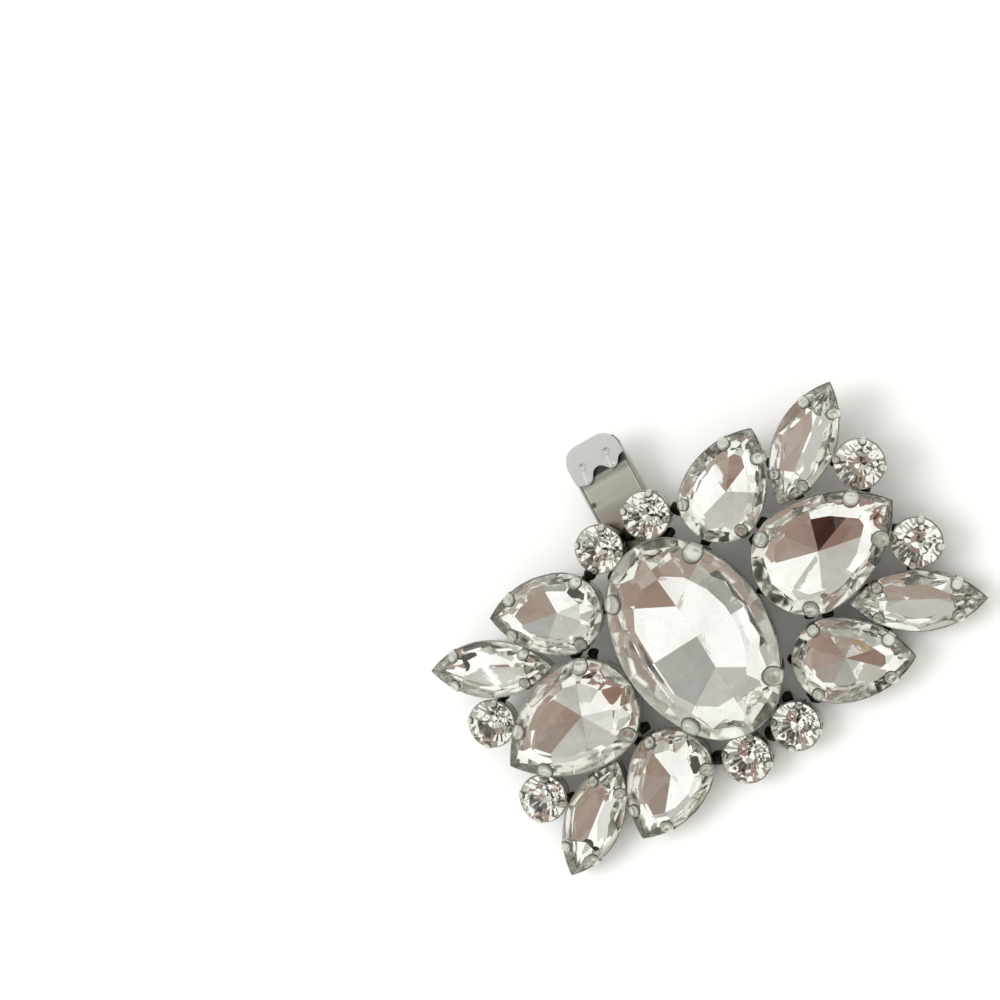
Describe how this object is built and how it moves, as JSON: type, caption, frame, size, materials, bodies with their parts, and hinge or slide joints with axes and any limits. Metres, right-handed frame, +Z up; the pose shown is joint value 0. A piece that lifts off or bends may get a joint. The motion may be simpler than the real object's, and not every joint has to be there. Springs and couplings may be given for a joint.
{
  "type": "shoe clip",
  "caption": "Butterfly-shaped shoe ornament of clear foil-backed stones in soldered claw cups, with a hinged toothed clip at the back, shown lying with its clip open.",
  "frame": {"origin": "point of the base plate's bearing face under the ornament's long axis, on the clip's middle line", "axes": "+X along the ornament's long axis, +Y level towards the tip of the opened clip, +Z up; the ornament lies face up, its +Y side raised 8 degrees by the hinge"},
  "size_m": [0.0604, 0.0451, 0.0109],
  "materials": {
    "foiled_crystal": "polished facets, silver foil on the back",
    "setting_metal": "polished silver-tone plating",
    "clip_metal": "satin nickel plating"
  },
  "bodies": {
    "ornament": {"oval_stone": "foiled_crystal", "big_pear_stone_1": "foiled_crystal", "big_pear_stone_2": "foiled_crystal", "pear_stone_1": "foiled_crystal", "pear_stone_2": "foiled_crystal", "pear_stone_3": "foiled_crystal", "pear_stone_4": "foiled_crystal", "navette_stone_1": "foiled_crystal", "navette_stone_2": "foiled_crystal", "navette_stone_3": "foiled_crystal", "navette_stone_4": "foiled_crystal", "end_round_stone_1": "foiled_crystal", "end_round_stone_2": "foiled_crystal", "end_round_stone_3": "foiled_crystal", "end_round_stone_4": "foiled_crystal", "side_round_stone_1": "foiled_crystal", "side_round_stone_2": "foiled_crystal", "side_round_stone_3": "foiled_crystal", "side_round_stone_4": "foiled_crystal", "setting_frame": "setting_metal", "clip_base": "clip_metal", "hinge_pin": "clip_metal"},
    "lever": {"clip_lever": "clip_metal"}
  },
  "joints": [
    {"name": "lever_hinge", "type": "hinge", "parent": "ornament", "child": "lever", "pos_m": [0.00116, 0.00955, -0.00022], "axis": [0.9925, -0.1207, -0.017], "range_deg": [-185, 0]}
  ]
}
